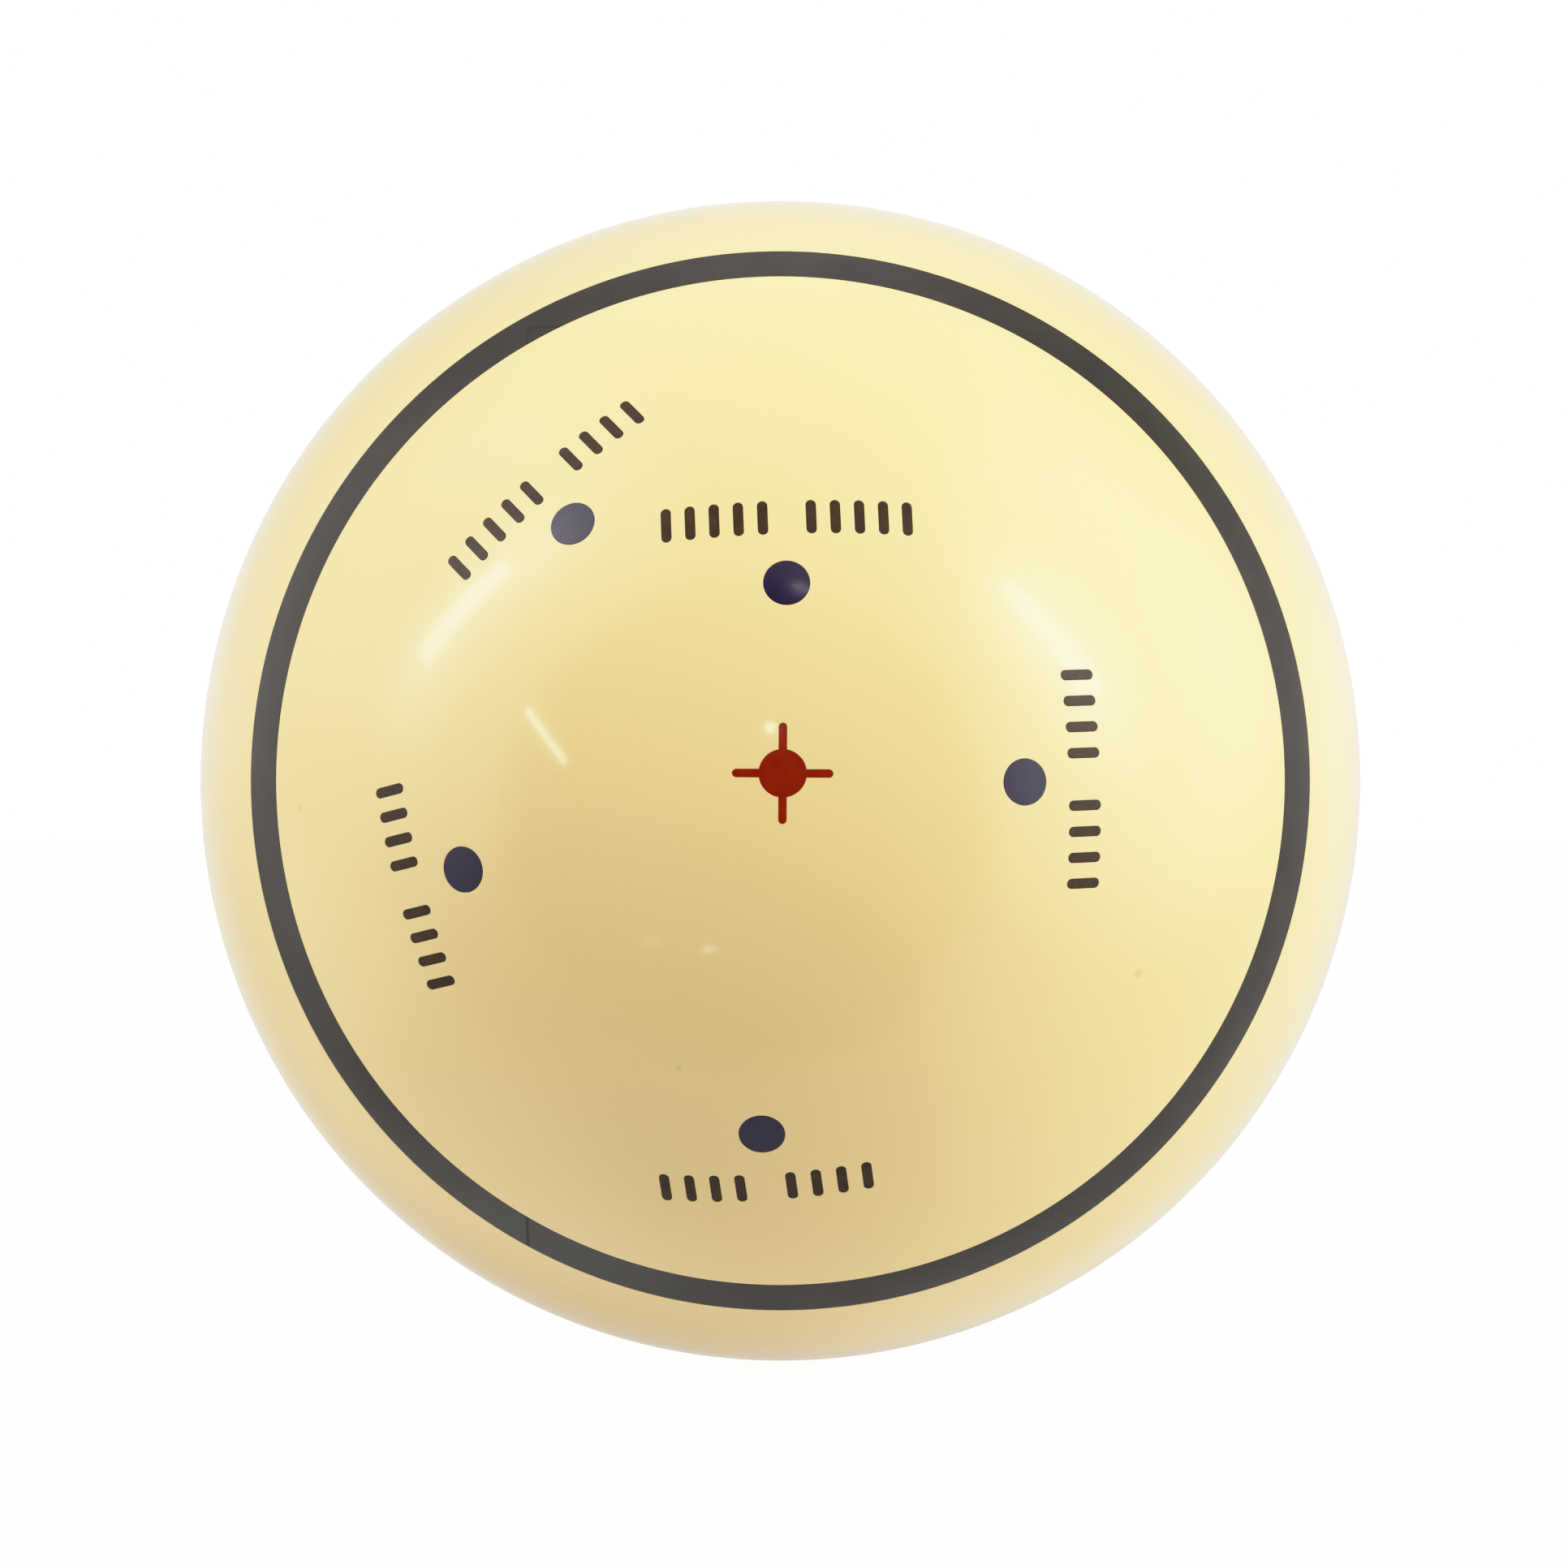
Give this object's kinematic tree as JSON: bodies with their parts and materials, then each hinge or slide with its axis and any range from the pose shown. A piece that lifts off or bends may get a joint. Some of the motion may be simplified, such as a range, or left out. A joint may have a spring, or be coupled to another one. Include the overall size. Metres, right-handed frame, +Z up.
{
  "type": "cue ball",
  "caption": "Ivory training cue ball, 57.15 mm, with an inlaid dark ring, a red centre target and navy strike dots, each with a row of small tick marks.",
  "frame": {"origin": "the centre of the ball", "axes": "+Z up with the tick rows upright as a player reads them; the marked face looks along -Y, towards the player; +X is to the player's right"},
  "size_m": [0.0572, 0.0572, 0.0572],
  "materials": {
    "ivory_resin": "polished cast phenolic resin, ivory, with fine play scuffs",
    "ring_fill": "charcoal resin fill, ground flush and polished",
    "dot_fill": "navy resin fill, ground flush and polished",
    "target_fill": "red resin fill, ground flush and polished",
    "label_fill": "dark brown resin fill, ground flush"
  },
  "bodies": {
    "root": {"ball_body": "ivory_resin", "ring_inlay": "ring_fill", "centre_target": "target_fill", "power_break_dot": "dot_fill", "stop_shot_dot": "dot_fill", "draw_shot_dot": "dot_fill", "jump_shot_dot": "dot_fill", "masse_shot_dot": "dot_fill", "power_break_ticks": "label_fill", "stop_shot_ticks": "label_fill", "draw_shot_ticks": "label_fill", "jump_shot_ticks": "label_fill", "masse_shot_ticks": "label_fill"}
  },
  "joints": []
}
